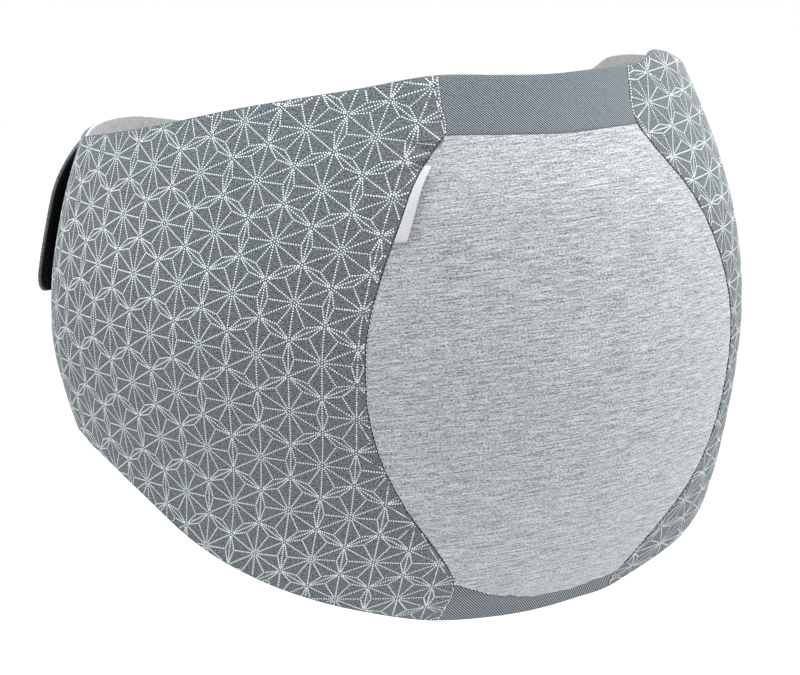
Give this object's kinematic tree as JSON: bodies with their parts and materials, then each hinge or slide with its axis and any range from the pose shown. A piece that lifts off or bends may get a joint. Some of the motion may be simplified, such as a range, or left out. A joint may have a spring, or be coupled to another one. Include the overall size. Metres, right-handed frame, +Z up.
{
  "type": "maternity support belt",
  "caption": "Wide cloth belt closed in a loop that carries a pregnant belly: jersey front between elastic bands, printed lined sides, and a hook flap at the back",
  "frame": {"origin": "inside the loop where the wearer's waist is, midway between the sides, under the upper edge by two fifths of the belly height", "axes": "+Z up along the wearer's body, -Y the way the wearer faces, +X the wearer's left"},
  "size_m": [0.3202, 0.2601, 0.2342],
  "materials": {
    "printed_cloth": "matt mid grey knit with a fine weave, printed with white dotted hemp-leaf stars",
    "belly_jersey": "soft light grey heather jersey with fine streaks across the belly",
    "elastic": "matt grey elastic with fine slanting ribs",
    "lining": "soft light grey heather knit",
    "hook_tape": "black hook tape",
    "label": "smooth white woven ribbon, bare"
  },
  "bodies": {
    "root": {"side_panel_right": "printed_cloth", "side_panel_left": "printed_cloth", "belly_panel": "belly_jersey", "upper_band": "elastic", "lower_band": "elastic", "lining_right": "lining", "lining_left": "lining", "closure_flap": "printed_cloth", "hook_tape": "hook_tape", "seam_label": "label"}
  },
  "joints": []
}
